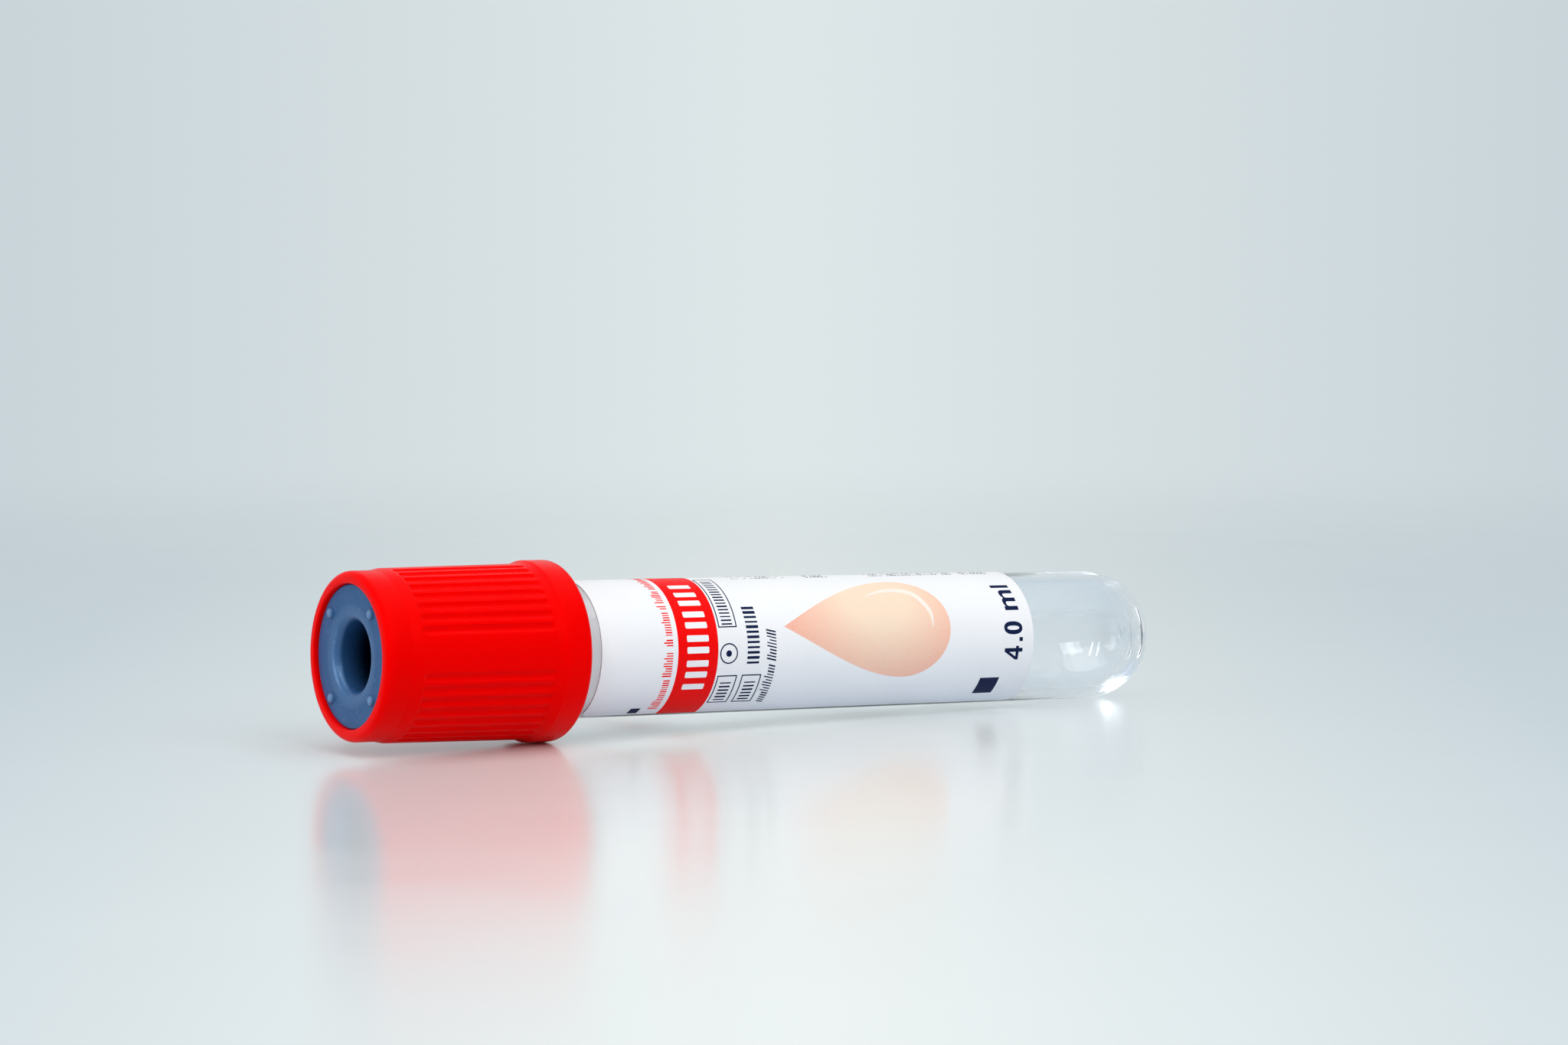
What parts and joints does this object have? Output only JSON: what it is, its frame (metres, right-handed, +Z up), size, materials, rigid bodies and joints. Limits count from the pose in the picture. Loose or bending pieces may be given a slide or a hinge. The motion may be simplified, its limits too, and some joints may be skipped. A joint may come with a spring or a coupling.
{
  "type": "blood collection tube",
  "caption": "Clear round-ended sample tube with a wrapped paper label, closed by a rubber stopper in a fluted red plastic shield, lying on its side.",
  "frame": {"origin": "on the ground under the middle of the tube, which lies on its side", "axes": "+X from the cap to the round end, +Z up; the tube's own axis dips 1.9 degrees towards the round end"},
  "size_m": [0.0864, 0.0162, 0.0164],
  "materials": {
    "clear_plastic": "clear, polished",
    "blue_rubber": "satin",
    "red_plastic": "satin gloss",
    "label_paper": "coated, printed"
  },
  "bodies": {
    "tube": {"tube": "clear_plastic", "label": "label_paper"},
    "stopper": {"stopper": "blue_rubber"},
    "cap": {"cap_shield": "red_plastic"}
  },
  "joints": [
    {"name": "closure_pull", "type": "slide", "parent": "tube", "child": "stopper", "axis": [-0.9995, 0, 0.033], "range_m": [0, 0.025]},
    {"name": "cap_turn", "type": "hinge", "parent": "stopper", "child": "cap", "pos_m": [-0.03302, 0, 0.00847], "axis": [-0.9995, 0, 0.033], "continuous": true}
  ]
}
